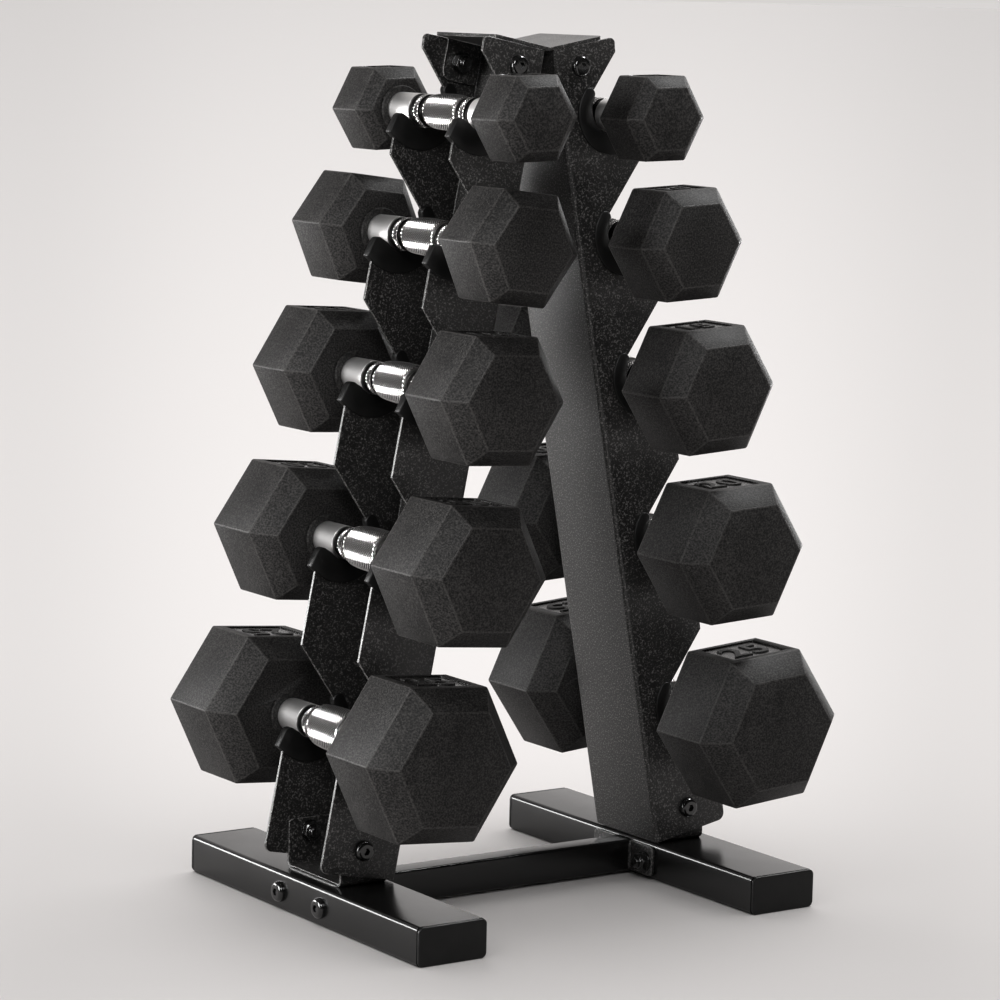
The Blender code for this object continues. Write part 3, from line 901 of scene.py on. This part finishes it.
rubber = head_rubber()
for tier, (across_flats, straight, bevel) in enumerate(HEADS, 1):
    head = head_mesh(across_flats, straight, bevel, WEIGHTS[tier - 1])
    for word in SIDES:
        for end, front in ENDS.items():
            turn = Matrix.Rotation(0 if front < 0 else math.pi, 4, "Z")
            turn = turn @ Matrix.Rotation(math.pi / 2, 4, "X")
            matrix = dumbbell_frame(word, tier) @ Matrix.Translation((0, front * HANDLE_HALF, 0)) @ turn
            node = f"{word}_dumbbell_{tier}_{end}_head"
            body = f"{word}_dumbbell_{tier}"
            add_piece(f"{word}_{end}_hex_{tier}", head, rubber, body, matrix, node)


# Studio. A pale floor with a painted pool of light and painted shade round it, with a wide overhead
# light of its own, and lamps all round that light only the pieces. The pieces mirror a bright backdrop
# behind them.
FLOOR_REACH = 300.0
FLOOR_DEPTH = 0.02
FLOOR_DROP = 0.0001
# The floor's painted pool of light is laid out along a line from the front left: the way it runs, where
# it starts and, in metres along it, where the painted light is brightest.
PAINTED_LIGHT_WAY = (0.565, 0.825)
PAINTED_LIGHT_START = (-2.68, 0.012)
PAINTED_LIGHT_NEAREST = 2.4
PAINTED_LIGHT_PEAK = 3.8
MIDDLE = (0, 0, 0.33)
CAMERA_PLACE = (-1.5268, -2.2082, 0.6769)
CAMERA_TURN = (81.968, -1.332, -34.351)
CAMERA_LENS = 130.4
BACKDROP_TONE = (0.72, 0.698, 0.689)


def add_light(name, kind, energy, place, aim, **settings):
    lamp = bpy.data.lights.new(name, kind)
    lamp.energy = energy
    for setting, value in settings.items():
        setattr(lamp, setting, value)
    light = bpy.data.objects.new(name, lamp)
    light.location = place
    light.rotation_euler = (Vector(aim) - Vector(place)).to_track_quat("-Z", "Y").to_euler()
    bpy.context.scene.collection.objects.link(light)
    return light


def floor_with_painted_light():
    """Matt pale paint with a painted pool of light behind the rack, and painted shade near, far and to
    the sides.
    """
    made, where = new_finish("floor_with_painted_light", Specular_IOR_Level=0.2)
    wash = where.grain(1.5, 2.0)
    x = where.node("SeparateXYZ", {}, {0: where}, 0)
    y = where.node("SeparateXYZ", {}, {0: where}, 1)
    ahead = PAINTED_LIGHT_WAY[0] * x + PAINTED_LIGHT_WAY[1] * y - PAINTED_LIGHT_START[0]
    along = ahead.maths("MAXIMUM", ahead, PAINTED_LIGHT_NEAREST)
    aside = (PAINTED_LIGHT_WAY[1] * x - PAINTED_LIGHT_WAY[0] * y + PAINTED_LIGHT_START[1]) / along
    depth = (along - PAINTED_LIGHT_PEAK) / along
    # Painted light: brightest in a pool behind the rack, with painted shade falling off near, far and to
    # the sides.
    painted_light_pool = (1 - 0.43 * depth * depth) * (1 - 0.27 * (aside * aside).step(0, 0.018))
    tone = (painted_light_pool + 0.02 * wash).blend((0.35, 0.34, 0.336), (0.81, 0.785, 0.775))
    varies(made, "Base Color", tone)
    varies(made, "Roughness", 0.6 + 0.1 * wash)
    return made


floor_mesh = prism(arc((0, 0), FLOOR_REACH, 0, 354, 59), -FLOOR_DEPTH, -FLOOR_DROP)
marks = floor_mesh.attributes.new("place", "FLOAT_VECTOR", "POINT")
for mark, vertex in zip(marks.data, floor_mesh.vertices):
    mark.vector = vertex.co
floor_mesh.materials.clear()
floor_mesh.materials.append(floor_with_painted_light())
floor = bpy.data.objects.new("floor", floor_mesh)
bpy.context.scene.collection.objects.link(floor)


def light_group(name, listed, state):
    """A set of pieces that a lamp either lights alone (INCLUDE) or leaves out (EXCLUDE)."""
    group = bpy.data.collections.new(name)
    for piece in listed:
        group.objects.link(piece)
    for entry in group.collection_objects:
        entry.light_linking.link_state = state
    return group


only_the_floor = light_group("only_the_floor", [floor], "INCLUDE")
all_but_the_floor = light_group("all_but_the_floor", [floor], "EXCLUDE")
shaded_heads = [bpy.data.objects[f"left_front_hex_{tier}"] for tier in range(2, 6)]
all_but_shaded = light_group("all_but_shaded_heads", [floor] + shaded_heads, "EXCLUDE")
# Each row: name, watts, place, width, height and the pieces it lights.
SOFTBOXES = (
    ("left_softbox", 77.0, (-2.3, 0.3, 0.8), 1.2, 1.2, all_but_the_floor),
    ("high_lamp", 42.0, (1.25, -0.3, 2.1), 0.45, 0.45, all_but_shaded),
    ("low_panel", 37.0, (-1.3, 1.8, 0.15), 0.8, 0.8, all_but_the_floor),
    ("right_strip", 10.0, (1.7, 0.9, 0.6), 0.35, 1.2, all_but_the_floor),
    ("front_fill", 27.0, (-1.1, -1.7, 1.6), 0.8, 0.8, all_but_the_floor),
)
for name, watts, place, width, height, lit_pieces in SOFTBOXES:
    settings = {"shape": "RECTANGLE", "size": width, "size_y": height}
    softbox = add_light(name, "AREA", watts, place, MIDDLE, **settings)
    softbox.light_linking.receiver_collection = lit_pieces
OVERHEAD = Vector((0, 0, 3))
dim_overhead = add_light("dim_overhead", "SUN", 0.1, OVERHEAD, (0, 0, 0), angle=math.radians(100))
dim_overhead.light_linking.receiver_collection = all_but_the_floor
overhead = add_light("overhead", "SUN", 2.94, OVERHEAD, (0, 0, 0), angle=math.radians(120))
overhead.light_linking.receiver_collection = only_the_floor

world = bpy.data.worlds.new("studio")
world.use_nodes = True
bpy.context.scene.world = world
start = Socket(world.node_tree)
direction = start.node("TexCoord", {}, {}, 0)
backdrop_side = {0: direction, 1: (0.56, 0.80, 0.1)}
behind = direction.node("VectorMath", {"operation": "DOT_PRODUCT"}, backdrop_side, 1)
seen = start.node("LightPath", {}, {}, 0)
backdrop = world.node_tree.nodes["Background"]
backdrop.inputs["Color"].default_value = (*BACKDROP_TONE, 1.0)
glow = 0.045 + 1.35 * behind.step(0.2, 0.95)
strength = seen + (1 - seen) * glow
start.feed(backdrop.inputs["Strength"], strength)

camera_data = bpy.data.cameras.new("camera")
camera_data.lens = CAMERA_LENS
camera = bpy.data.objects.new("camera", camera_data)
camera.location = CAMERA_PLACE
camera.rotation_euler = [math.radians(angle) for angle in CAMERA_TURN]
bpy.context.scene.collection.objects.link(camera)
bpy.context.scene.camera = camera
tone_curve = bpy.context.scene.view_settings
tone_curve.view_transform = "Standard"
tone_curve.gamma = 0.88
